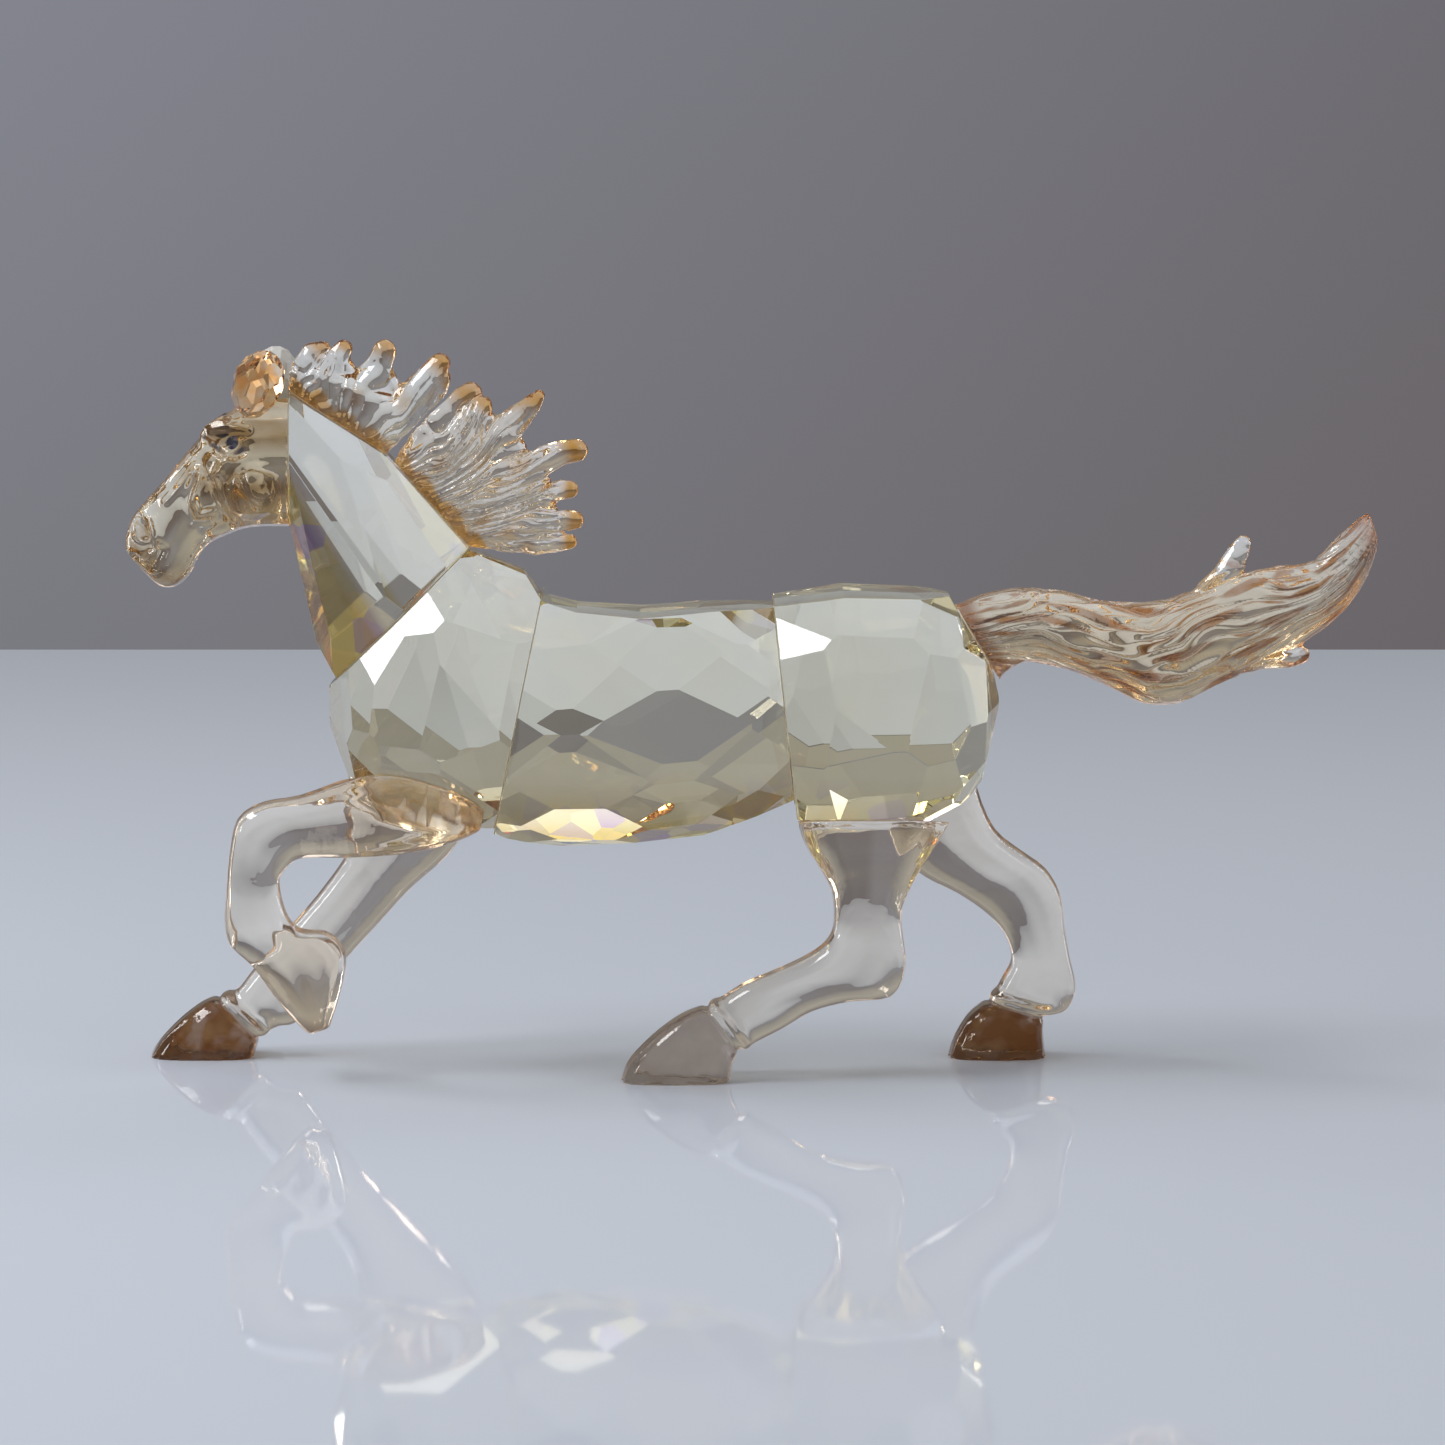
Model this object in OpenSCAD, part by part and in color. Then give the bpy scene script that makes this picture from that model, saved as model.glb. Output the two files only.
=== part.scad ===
// Galloping horse figurine, glued up from facet-cut crystal stones and smooth glass castings.
// Head towards -X, tail towards +X, the horse's left side towards -Y, hoof soles at z = 0.

/* [Stones] */
// Width of the neck stone at its base
neck_w = 23; // [19:1:26]
// Width of the shoulder stone
shoulder_w = 33; // [30:1:35]
// Width of the barrel stone
barrel_w = 31; // [28:1:33]
// Width of the haunch stone
haunch_w = 36; // [33:1:38]
// Facets round the middle of the large stones, in steps of two
facets_round = 12; // [8:2:14]

/* [Castings] */
// Distance of the standing hooves from the middle plane
stance = 11.5; // [10.5:0.5:12]
// Sides of each swept casting
sides = 16; // [12:4:24]
// Rings between two stations of a swept casting
ring_steps = 3; // [2:1:4]

/* [Small pieces] */
// Length of an ear bead
ear_length = 10; // [8:0.5:11]
// Diameter of an eye stone
eye_d = 2; // [1.6:0.1:2.4]
// Thickness of the cured adhesive in every joint
bond_t = 0.15; // [0.1:0.05:0.3]

/* [Hidden] */

block = 200;          // side of a cutting block, larger than the figurine
plate = 60;           // side of the slab that a film is cut from
body_power = 2.4;     // roundness of the head's and tail's section: 2 is an ellipse, more is squarer
leg_power = 3.2;      // the same for the legs

champagne = [0.93, 0.88, 0.70];
rosy_clear = [0.95, 0.84, 0.74];
copper_glass = [0.90, 0.70, 0.55];
amber_bead = [0.95, 0.70, 0.42];
cured_film = [0.96, 0.93, 0.80];
sapphire = [0.06, 0.10, 0.32];

// Glue faces. Each is a point on the face and the direction in which the glued-on piece lies.
head_face = [[-65.6, 0, 87], [-1, 0, 0]];
shoulder_face = [[-49.6, 0, 66], [0.70, 0, -0.714]];
barrel_face = [[-33.4, 0, 51.3], [0.98, 0, -0.199]];
haunch_face = [[4.5, 0, 52.5], [0.994, 0, 0.107]];
tail_face = [[32.1, 0, 61.2], [0.865, 0, 0.502]];
mane_front_face = [[-58.2, 0, 92.2], [0.54, 0, 0.842]];
mane_rear_face = [[-46.1, 0, 81.6], [0.75, 0, 0.661]];
leg_front_left_face = [[-46.5, -8.5, 39], [-0.21, -0.60, -0.772]];
leg_front_right_face = [[-46.5, 8.5, 39], [-0.21, 0.60, -0.772]];
leg_hind_left_face = [[17, -8, 36.5], [0, -0.16, -0.987]];
leg_hind_right_face = [[20, 8, 36.5], [0.40, 0.16, -0.902]];
mane_split = [[-51.9, 0, 88.2], [0.70, 0, -0.714]]; // the front mane ends here, and the rear one begins
ear_left_face = [[-70.8, -3.9, 94.3], [0, -0.45, 0.89]];
ear_right_face = [[-69.1, 4.4, 94.25], [0, 0.50, 0.865]];
eye_left_face = [[-73.5, -6.2, 90.2], [-0.42, -0.88, 0.22]];
eye_right_face = [[-73.5, 6.2, 90.2], [-0.42, 0.88, 0.22]];

// Stations of the swept castings, each [x and z of one edge, x and z of the other edge,
// half width, y of the middle].
head_stations = [
    [-62, 96.2, -62, 78, 6.8, 0], [-66, 96.2, -66, 77.9, 7, 0],
    [-70, 96, -69.5, 77.9, 7.2, 0], [-73.5, 94.8, -72.3, 77.6, 7.2, 0],
    [-77, 92.2, -75, 76.6, 6.6, 0], [-80, 89.1, -77.4, 75.4, 5.8, 0],
    [-83, 85.4, -79, 73.4, 5, 0], [-86, 82, -80.2, 71, 4.6, 0],
    [-88.2, 79.4, -82, 69.4, 4.6, 0], [-89.2, 76.8, -84.2, 69.3, 4.2, 0],
    [-89.3, 74.8, -86.2, 71.3, 3, 0]
];
tail_stations = [
    [33, 53, 26, 65, 4.5, 0], [35.8, 56.5, 29.5, 67, 5, 0],
    [38.5, 58.3, 34, 68.6, 5.4, 0], [42, 58.1, 39, 69.2, 5.6, 0],
    [46.5, 56.8, 44, 68.8, 5.8, 0], [51, 54.8, 49.5, 67.5, 6, 0],
    [56, 52.4, 55, 67.1, 6.2, 0.3], [61, 52.4, 60.5, 68, 6.2, 0.6],
    [66, 54.8, 66, 70, 6, 0.8], [71, 57, 71.5, 71.8, 5.6, 0.8],
    [76, 59.3, 76, 72.4, 5, 0.6], [80.6, 62.4, 80, 73.2, 4.5, 0.3],
    [84.6, 66, 83, 76.1, 3.8, 0], [87.6, 70.6, 86, 78.8, 3, 0],
    [89.2, 75.5, 87.8, 79.9, 1.8, 0]
];
front_left_stations = [
    [-38, 38.4, -38.6, 35.4, 2.5, -9], [-40, 41, -41, 34.2, 4.6, -8.8],
    [-44, 43, -45.5, 32.8, 5.6, -8.8], [-50, 44.5, -51, 31.9, 5.9, -9],
    [-57, 43, -57.5, 31.6, 5.4, -9.6], [-64, 40.6, -62, 31.8, 4.7, -10.6],
    [-69.3, 39.7, -64.5, 31.5, 4.4, -11.3], [-72.8, 37.4, -66.2, 30, 4.3, -11.5],
    [-74, 32.5, -66.9, 28.6, 4.2, -11.5], [-74.5, 27, -66.6, 25.8, 3.9, -11.5],
    [-74.8, 22.5, -65.4, 22.8, 3.9, -11.4], [-74, 19.3, -63.6, 21.4, 4.1, -11.2],
    [-71, 16.4, -60, 21, 4.2, -11], [-68, 12.2, -57.6, 18, 4.4, -10.8],
    [-65.3, 8.8, -58.4, 12.5, 3.6, -10.7], [-63, 6.6, -60, 7.5, 2.2, -10.6]
];
front_right_stations = [
    [-57, 44, -38, 41, 5.6, 8.4], [-56.5, 38, -39.5, 36, 5.6, 8.4],
    [-58, 31, -43.5, 30, 5.3, 8.9], [-61.5, 25.5, -49, 25, 4.9, 9.6],
    [-66, 20, -54, 19.5, 4.6, 10.3], [-70, 15.5, -58.5, 14.5, 4.4, 11],
    [-72.8, 12, -62.3, 9.5, 4.3, 11.4], [-74.8, 9.6, -65.5, 5.2, 4.2, stance],
    [-77.5, 8.8, -68.6, 4.4, 4, stance], [-80, 7.8, -70.8, 3.2, 4.6, stance],
    [-83.5, 5, -72, 1, 5.2, stance], [-86.6, 1.4, -73, -2.5, 5.4, stance],
    [-88.4, -3, -77, -6, 5.4, stance]
];
hind_left_stations = [
    [6, 41, 28.5, 41, 6, -7.6], [6.4, 36.5, 28, 36.5, 5.8, -7.7],
    [7.4, 33.3, 26.4, 33.6, 5.6, -8.2], [9.6, 29.8, 24, 30, 5.2, -9],
    [11.1, 27, 22.2, 26.8, 4.8, -9.8], [11.5, 24, 21.1, 23.8, 4.5, -10.5],
    [11.2, 21.3, 21.4, 20.3, 4.3, -11], [9.6, 19.2, 21.7, 16, 4.3, -11.3],
    [6.4, 17.3, 19.8, 12.1, 4.2, -stance], [2.5, 15.5, 14, 11.4, 4, -stance],
    [-1.5, 13.8, 8.6, 10, 3.9, -stance], [-5.6, 11.2, 4.5, 7.6, 4, -stance],
    [-9.5, 9.8, 0.6, 5.6, 4.2, -stance], [-12.5, 7.9, -1.9, 4.2, 4.6, -stance],
    [-15.5, 5.3, -3, 1.5, 5.2, -stance], [-18, 2.2, -4, -2.5, 5.4, -stance],
    [-19, -2, -8, -6, 5.4, -stance]
];
hind_right_stations = [
    [19, 42, 32, 45, 5.6, 7.6], [18.5, 36, 32.5, 39.5, 5.5, 7.8],
    [20.5, 30.5, 35, 33.6, 5.3, 8.4], [24.5, 26.7, 39, 30.2, 5, 9.4],
    [29.4, 24.1, 42.4, 27.6, 4.8, 10.4], [33.6, 21.2, 44.6, 23.8, 4.4, 11],
    [36.4, 18.2, 45.3, 19, 4.1, 11.4], [37.6, 14.4, 46.1, 14.5, 4, stance],
    [36.2, 11.4, 47, 10, 4.2, stance], [34.9, 9, 45.8, 7, 4.2, stance],
    [33.3, 7.7, 43, 6.3, 4.2, stance], [31, 5.7, 42.3, 4.2, 4.8, stance],
    [28.9, 1.8, 42.6, 0.5, 5.3, stance], [28, -3, 43, -3, 5.4, stance]
];

// Strands of the manes and the tail's tufts, each a list of [x, y, z, radius]. The glass between
// two neighbouring strands of a mane ends in a valley, [x, y, z, radius].
mane_front_strands = [
    [[-63.5, 0, 94.5, 2.4], [-64, 0.5, 99.3, 2.2], [-62.8, 0.6, 102.3, 1.7], [-61, 0.4, 103.2, 1.1]],
    [[-61.5, 0, 93.5, 2.6], [-60.6, 0, 98.5, 2.5], [-58.9, -0.4, 101.8, 1.8], [-58, -0.4, 103.3, 1.3]],
    [[-57.5, 0, 91, 3], [-55.6, 0, 96.3, 2.9], [-53.2, 0.5, 100.4, 2.1], [-52.3, 0.5, 102.8, 1.8]],
    [[-54, 0, 89, 3], [-51, 0, 93.3, 3], [-47.6, -0.5, 97.2, 2.4],
     [-45, -0.6, 100.2, 1.8], [-44.4, -0.6, 101.1, 1.6]],
    [[-53, 0.5, 88.4, 2.4], [-48.4, 0.6, 91.8, 2.3], [-45.9, 0.4, 95.6, 2], [-44.5, 0, 99, 1.7]]
];
mane_front_valleys = [
    [-60.2, 0, 101, 1.3], [-56.6, 0, 98.1, 1.4], [-50.8, 0, 96.2, 1.4], [-46.4, 0, 98.4, 1.5]
];
mane_rear_strands = [
    [[-49, 0, 85.5, 2.6], [-46, 0, 91, 2.6], [-42.6, 0.4, 95, 2.2], [-40, 0.5, 96.8, 1.7]],
    [[-47.5, 0, 83.5, 2.8], [-42.5, -0.6, 89.5, 2.8], [-39.6, -0.6, 93.4, 2.3], [-38.5, -0.6, 95, 1.7]],
    [[-46.5, 0, 82, 2.8], [-41, 0.4, 87, 3], [-35.3, 0.6, 91.3, 2.6],
     [-31.9, 0.6, 94.6, 1.7], [-30.4, 0.6, 96.4, 1]],
    [[-44.5, 0, 80, 2.8], [-38.5, -0.4, 84, 2.9], [-32, -0.8, 86.4, 2.5],
     [-27, -0.8, 88.5, 1.8], [-25, -0.8, 88.8, 1.7]],
    [[-43.5, 0, 78.5, 2.6], [-37, 0.5, 80.8, 2.7], [-31, 0.8, 82, 2.3],
     [-27.4, 0.8, 83, 1.5], [-26, 0.8, 83.1, 1.3]],
    [[-42.5, 0, 77.5, 2.2], [-36, -0.5, 78.2, 2.4], [-30, -0.7, 78.6, 2.1], [-25.3, -0.7, 78.8, 1.4]],
    [[-41.5, 0, 77, 1.8], [-36, 0.4, 76.2, 1.9], [-31, 0.4, 75.4, 1.8], [-26, 0.3, 75.7, 1.1]]
];
mane_rear_valleys = [
    [-41, 0, 94.2, 1.4], [-37, 0, 92.4, 1.4], [-33, 0, 87.4, 1.4],
    [-29.6, 0, 83.6, 1.3], [-28.8, 0, 80, 1.2], [-27.8, 0, 77, 1.1]
];
tail_strands = [
    [[64.5, 0, 67, 2.6], [67.6, 0.5, 70.5, 2.3], [69, 0.8, 73.6, 1.7], [70, 0.8, 75.4, 1.2]],
    [[68, 0, 59, 2.6], [73, -1.2, 59.8, 2.2], [76.5, -1.6, 59.5, 1.7], [78.2, -1.6, 59.7, 1.3]],
    [[72, 0, 66, 4], [78, 1, 67, 3.6], [83, 1, 70.5, 2.8]]
];

// Rounded lumps of the head, each [x, half distance from the middle plane, z, radius].
head_lumps = [
    [-71.2, 4.1, 83.4, 4.4], // cheek
    [-75.8, 3.6, 90.6, 2.6], // brow
    [-81.5, 2.9, 81.2, 2.4], // cheekbone's end
    [-86.6, 2.6, 76.8, 2.3], // nostril
    [-83.6, 1.7, 71.9, 2.2]  // lower lip
];

// A direction that leans from the YZ plane towards +X by tilt, and is turned from +Y towards +Z
function lean(tilt, turn) = [sin(tilt), cos(tilt) * cos(turn), cos(tilt) * sin(turn)];

// Where an egg with this long axis touches its tangent plane that faces the direction n,
// measured from its centre
function touch(axis, long, short, n) =
    let (
        share = axis * n,
        p = long * long * share * axis + short * short * (n - share * axis)
    )
    p / sqrt(p * n);

// The same point or direction on the other side of the middle plane
function opposite(v) = [v.x, -v.y, v.z];

// Distance from the centre of a rounded body to its tangent plane that faces the direction n.
// A fullness of 2 is an ellipsoid, and more is boxier.
function reach(radii, n, fullness) =
    let (q = fullness / (fullness - 1))
    pow(pow(abs(radii.x * n.x), q) + pow(abs(radii.y * n.y), q) + pow(abs(radii.z * n.z), q), 1 / q);

// Smooth curve through the stations p, between numbers i and i + 1
function between(p, i, t) =
    let (a = p[max(i - 1, 0)], b = p[i], c = p[i + 1], d = p[min(i + 2, len(p) - 1)])
    0.5 * (2 * b + (c - a) * t + (2 * a - 5 * b + 4 * c - d) * t * t
        + (3 * b - 3 * c + d - a) * t * t * t);

function rings_of(p) = concat(
    [for (i = [0 : len(p) - 2], k = [0 : ring_steps - 1]) between(p, i, k / ring_steps)],
    [p[len(p) - 1]]
);

// Sine or cosine drawn towards the corners of its square, for a rounder or squarer section
function squarish(v, power) = sign(v) * pow(abs(v), 2 / power);

function section(s, power) = [for (k = [0 : sides - 1])
    let (
        across = squarish(cos(k * 360 / sides), power),
        along = squarish(sin(k * 360 / sides), power),
        middle = [(s[0] + s[2]) / 2, s[5], (s[1] + s[3]) / 2],
        half = [(s[2] - s[0]) / 2, 0, (s[3] - s[1]) / 2]
    )
    middle + across * half + [0, along * s[4], 0]];

// A closed casting swept through its stations
module sweep(stations, power = body_power) {
    rings = rings_of(stations);
    last = len(rings) - 1;
    points = [for (s = rings) each section(s, power)];
    walls = [for (r = [0 : last - 1], k = [0 : sides - 1])
        let (a = r * sides + k, b = r * sides + (k + 1) % sides)
        each [[a, b, a + sides], [b, b + sides, a + sides]]];
    start_cap = [[for (k = [sides - 1 : -1 : 0]) k]];
    end_cap = [[for (k = [0 : sides - 1]) last * sides + k]];
    polyhedron(points, concat(walls, start_cap, end_cap), convexity = 6);
}

// What both children have
module shared() {
    intersection() {
        children(0);
        children(1);
    }
}

module ball(p) {
    translate([p[0], p[1], p[2]])
        sphere(r = p[3], $fn = 12);
}

// A tapering rod of glass through its points
module strand(points) {
    for (i = [0 : len(points) - 2])
        hull() {
            ball(points[i]);
            ball(points[i + 1]);
        }
}

// The glass between two neighbouring strands, out to the valley between their tips
module web(a, b, valley) {
    hull() {
        for (p = [a[0], a[1], b[0], b[1], valley])
            ball(p);
    }
    for (s = [a, b])
        hull() {
            ball(s[1]);
            ball(s[2]);
            ball(valley);
        }
}

// A row of strands that are one casting
module fan(strands, valleys) {
    for (s = strands)
        strand(s);
    for (i = [0 : len(valleys) - 1])
        web(strands[i], strands[i + 1], valleys[i]);
}

// Turns the Z axis to the direction n
module face_along(n) {
    rotate([0, acos(n.z / norm(n)), atan2(n.y, n.x)])
        children();
}

// Everything beyond a face moved outwards by shift
module beyond(face, shift = 0) {
    translate(face[0] + shift * face[1] / norm(face[1]))
        face_along(face[1])
            translate([-block / 2, -block / 2, 0])
                cube(block);
}

// What the children have inside the thin layer on a face
module film(face) {
    intersection() {
        translate(face[0])
            face_along(face[1])
                translate([-plate / 2, -plate / 2, 0])
                    cube([plate, plate, bond_t]);
        children();
    }
}

// Everything on the inner side of a face
module within(face) {
    translate(face[0])
        face_along(face[1])
            translate([-block / 2, -block / 2, -block])
                cube(block);
}

// A stone cut by planes that touch a rounded body. The facets on its sides are turned down
// by sag. Each row is [tilt towards +X, number of facets, turn of the first facet,
// depth as a share of the body].
module cut_stone(radii, fullness, sag, rows) {
    facets = [for (row = rows, i = [0 : row[1] - 1])
        let (
            turn = row[2] + i * 360 / row[1],
            n = lean(row[0], turn - sag * cos(turn))
        )
        [row[3] * reach(radii, n, fullness) * n, n]];
    intersection() {
        cube(2 * radii + [1, 1, 1], center = true);
        intersection_for (facet = facets)
            within(facet);
    }
}

// What a piece glued onto a face gives up: all that lies behind the film
module glued_back(face) {
    beyond([face[0], -face[1]], -bond_t);
}

// Both sides of the middle plane
module both_sides() {
    children();
    mirror([0, 1, 0])
        children();
}

module neck_blank() {
    slope = atan((neck_w - 13) / 2 / 26); // the flanks narrow towards the head
    flank = [-0.62 * sin(slope), -cos(slope), 0.79 * sin(slope)];
    throat = [-0.977, 0, -0.213];
    crest_front = mane_front_face[1];
    crest_rear = mane_rear_face[1];
    crest_mean = (crest_front + crest_rear) / 2;
    middle_facets = [
        mane_front_face,
        mane_rear_face,
        [[-65.6, 0, 78], throat],
        [[-62, 0, 61.6], [-0.86, 0, -0.51]]
    ];
    left_facets = [
        [[-50, -neck_w / 2, 66], flank],
        // flank meets crest
        [[-46.5, -5.4, 81], 0.62 * crest_rear - [0, 0.79, 0]],
        [[-57.5, -4.6, 91.4], 0.62 * crest_front - [0, 0.79, 0]],
        [[-50.5, -7, 82], 0.34 * crest_mean - [0, 0.94, 0]],
        // flank meets throat
        [[-56.1, -9.5, 74.3], [-0.40, -0.91, -0.07]],
        [[-64.8, -2.8, 74], 0.86 * throat - [0, 0.50, 0]],
        [[-62, -6.6, 62], [-0.62, -0.66, -0.42]],
        [[-59.6, -8.8, 69], [-0.50, -0.84, -0.21]],
        // above the shoulder joint
        [[-54, -10.6, 69.5], [-0.22, -0.93, -0.30]]
    ];
    right_facets = [for (facet = left_facets) [opposite(facet[0]), opposite(facet[1])]];
    intersection() {
        translate([-72, -neck_w / 2, 50])
            cube([40, neck_w, 52]);
        intersection_for (facet = concat(middle_facets, left_facets, right_facets))
            within(facet);
    }
}

module neck_stone() {
    difference() {
        neck_blank();
        beyond(head_face);
        beyond(shoulder_face);
    }
}

module shoulder_blank() {
    translate([-42.9, 0, 55.3])
        cut_stone([16.8, shoulder_w / 2, 21], 2.7, -6, [
            [-68, facets_round - 4, 5, 0.97],
            [-42, facets_round - 2, 70, 0.96],
            [-16, facets_round, 2, 0.97],
            [10, facets_round - 2, -3, 0.975],
            [36, facets_round - 2, 3, 0.98]
        ]);
}

module shoulder_stone() {
    difference() {
        shoulder_blank();
        glued_back(shoulder_face);
        beyond(barrel_face);
        beyond(leg_front_left_face);
        beyond(leg_front_right_face);
        beyond([[-34, 0, 72.3], [0.36, 0, 0.933]]); // top of the withers
        beyond([[-31, 0, 69.4], [0.83, 0, 0.557]]); // back of the withers
        beyond([[-46, 0, 36], [-0.10, 0, -0.995]]); // breastbone
        both_sides() {
            beyond([[-36, -4.2, 71.8], [0.33, -0.58, 0.744]]); // slope of the withers
            // two facets along the neck joint
            beyond([[-50.2, -0.2 - shoulder_w / 2, 56], [-0.53, -0.81, 0.24]]);
            beyond([[-43.8, 1.2 - shoulder_w / 2, 66.5], [-0.30, -0.80, 0.52]]);
        }
    }
}

module barrel_blank() {
    step = 360 / facets_round;
    translate([-18, 0, 51.4])
        rotate([0, -4, 0])
            cut_stone([35, barrel_w / 2, 19.2], 2.2, 3.5, [
                [-25, facets_round, 2 + step / 2, 0.98],
                [-14.5, facets_round, 1, 0.982],
                [-5, facets_round, step / 2 - 1, 0.976],
                [4, facets_round, 3, 0.979],
                [13.5, facets_round, 1 + step / 2, 0.981],
                [24, facets_round, 2, 0.978]
            ]);
}

module barrel_stone() {
    difference() {
        barrel_blank();
        glued_back(barrel_face);
        beyond(haunch_face);
        beyond([[-20, 0, 32.8], [0.10, 0, -0.995]]); // belly
        beyond([[-7, 0, 34.1], [0.365, 0, -0.931]]); // flank's tuck-up
        // the dip of the back
        translate([0, block / 2, 0])
            rotate([90, 0, 0])
                linear_extrude(block)
                    polygon([
                        [-36, 69.5], [-25, 66.4], [-16, 65.7], [-6, 66.5], [10, 67],
                        [10, 90], [-36, 90]
                    ]);
    }
}

module haunch_blank() {
    translate([14.5, 0, 52.8])
        cut_stone([20.2, haunch_w / 2, 19], 2.6, -6, [
            [-42, facets_round - 2, 70, 0.98],
            [-17, facets_round - 2, 3, 0.97],
            [6, facets_round - 2, -2, 0.972],
            [29, facets_round - 2, 4, 0.969],
            [54, facets_round - 2, 66, 0.97],
            [77, facets_round - 4, 32, 0.98]
        ]);
}

module haunch_stone() {
    difference() {
        haunch_blank();
        glued_back(haunch_face);
        beyond(tail_face);
        beyond(leg_hind_left_face);
        beyond(leg_hind_right_face);
        beyond([[17, 0, 68.6], [0.03, 0, 1]]); // top of the croup
        beyond([[12, 0, 68.6], [-0.135, 0, 0.991]]); // front of the croup
        both_sides()
            beyond([[6.6, 2.1 - haunch_w / 2, 62], [-0.36, -0.80, 0.48]]); // upper front corner
    }
}

module head_casting() {
    sweep(head_stations);
    for (lump = head_lumps)
        both_sides()
            hull() {
                ball([lump[0], -lump[1], lump[2], lump[3]]);
                ball([lump[0] + 1.2, 0.6 - lump[1], lump[2] + 0.8, lump[3]]);
            }
}

module head() {
    difference() {
        head_casting();
        glued_back(head_face);
        beyond(ear_left_face);
        beyond(ear_right_face);
        beyond(eye_left_face);
        beyond(eye_right_face);
    }
}

// A faceted bead that stands on its face, with its long axis raised and turned
module ear(face, raised, turned) {
    axis = [cos(raised) * cos(turned), cos(raised) * sin(turned), sin(raised)];
    long = ear_length / 2;
    short = 3.4;
    middle = face[0] + 0.93 * touch(axis, long, short, face[1] / norm(face[1]));
    difference() {
        translate(middle)
            rotate([0, -raised, turned])
                cut_stone([long, short, short], 2, 0, [
                    [-66, 6, 0, 0.97], [-36, 8, 22.5, 0.97], [-10, 8, 0, 0.97],
                    [18, 8, 22.5, 0.97], [48, 8, 0, 0.97], [75, 6, 30, 0.97]
                ]);
        glued_back(face);
    }
}

// A pointed-back stone seated on its face
module eye(face) {
    translate(face[0] + bond_t * face[1] / norm(face[1]))
        face_along(face[1])
            cylinder(d1 = eye_d, d2 = 0.55 * eye_d, h = 0.35 * eye_d, $fn = 10);
}

module dot_film(face, d) {
    translate(face[0])
        face_along(face[1])
            cylinder(d = d, h = bond_t, $fn = 32);
}

module mane_front_casting() {
    difference() {
        fan(mane_front_strands, mane_front_valleys);
        beyond(mane_split, -bond_t);
    }
}

module mane_rear_casting() {
    difference() {
        fan(mane_rear_strands, mane_rear_valleys);
        beyond([mane_split[0], -mane_split[1]], -bond_t);
    }
}

module tail_casting() {
    sweep(tail_stations);
    for (s = tail_strands)
        strand(s);
}

module front_left_casting() {
    sweep(front_left_stations, leg_power);
}

module front_right_casting() {
    sweep(front_right_stations, leg_power);
}

module hind_left_casting() {
    sweep(hind_left_stations, leg_power);
}

module hind_right_casting() {
    sweep(hind_right_stations, leg_power);
}

// A casting cut off flat, a film's thickness above its glue face
module seated(face) {
    difference() {
        children();
        glued_back(face);
    }
}

// A standing leg: seated on its stone, with its sole ground flat
module standing(face) {
    difference() {
        seated(face)
            children();
        translate([-block / 2, -block / 2, -block])
            cube(block);
    }
}

color(rosy_clear) head();
color(amber_bead) ear(ear_left_face, 68, 10);  // ear_left
color(amber_bead) ear(ear_right_face, 76, -10);  // ear_right
color(sapphire) eye(eye_left_face);  // eye_left
color(sapphire) eye(eye_right_face);  // eye_right
color(champagne) neck_stone();
color(champagne) shoulder_stone();
color(champagne) barrel_stone();
color(champagne) haunch_stone();
color(rosy_clear) seated(mane_front_face) mane_front_casting();  // mane_front
color(rosy_clear) seated(mane_rear_face) mane_rear_casting();  // mane_rear
color(copper_glass) seated(tail_face) tail_casting();  // tail
color(rosy_clear) seated(leg_front_left_face) front_left_casting();  // leg_front_left
color(rosy_clear) standing(leg_front_right_face) front_right_casting();  // leg_front_right
color(rosy_clear) standing(leg_hind_left_face) hind_left_casting();  // leg_hind_left
color(rosy_clear) standing(leg_hind_right_face) hind_right_casting();  // leg_hind_right
color(cured_film) film(head_face) neck_blank();  // bond_head_neck
color(cured_film) film(shoulder_face) neck_blank();  // bond_neck_shoulder
color(cured_film) film(barrel_face) shared() { shoulder_blank(); barrel_blank(); }  // bond_shoulder_barrel
color(cured_film) film(haunch_face) shared() { barrel_blank(); haunch_blank(); }  // bond_barrel_haunch
color(cured_film) film(tail_face) shared() { haunch_blank(); sweep(tail_stations); }  // bond_tail
color(cured_film) film(mane_front_face) mane_front_casting();  // bond_mane_front
color(cured_film) film(mane_rear_face) mane_rear_casting();  // bond_mane_rear
color(cured_film) film(leg_front_left_face) shared() { shoulder_blank(); front_left_casting(); }  // bond_leg_front_left
color(cured_film) film(leg_front_right_face) shared() { shoulder_blank(); front_right_casting(); }  // bond_leg_front_right
color(cured_film) film(leg_hind_left_face) shared() { haunch_blank(); hind_left_casting(); }  // bond_leg_hind_left
color(cured_film) film(leg_hind_right_face) shared() { haunch_blank(); hind_right_casting(); }  // bond_leg_hind_right
color(cured_film) dot_film(ear_left_face, 3);  // bond_ear_left
color(cured_film) dot_film(ear_right_face, 3);  // bond_ear_right
color(cured_film) dot_film(eye_left_face, 0.8 * eye_d);  // bond_eye_left
color(cured_film) dot_film(eye_right_face, 0.8 * eye_d);  // bond_eye_right
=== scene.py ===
"""Looks of the crystal horse figurine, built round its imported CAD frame."""

import math

import bmesh
import bpy
import numpy as np
from mathutils import Matrix, Vector
from mathutils.kdtree import KDTree


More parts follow.
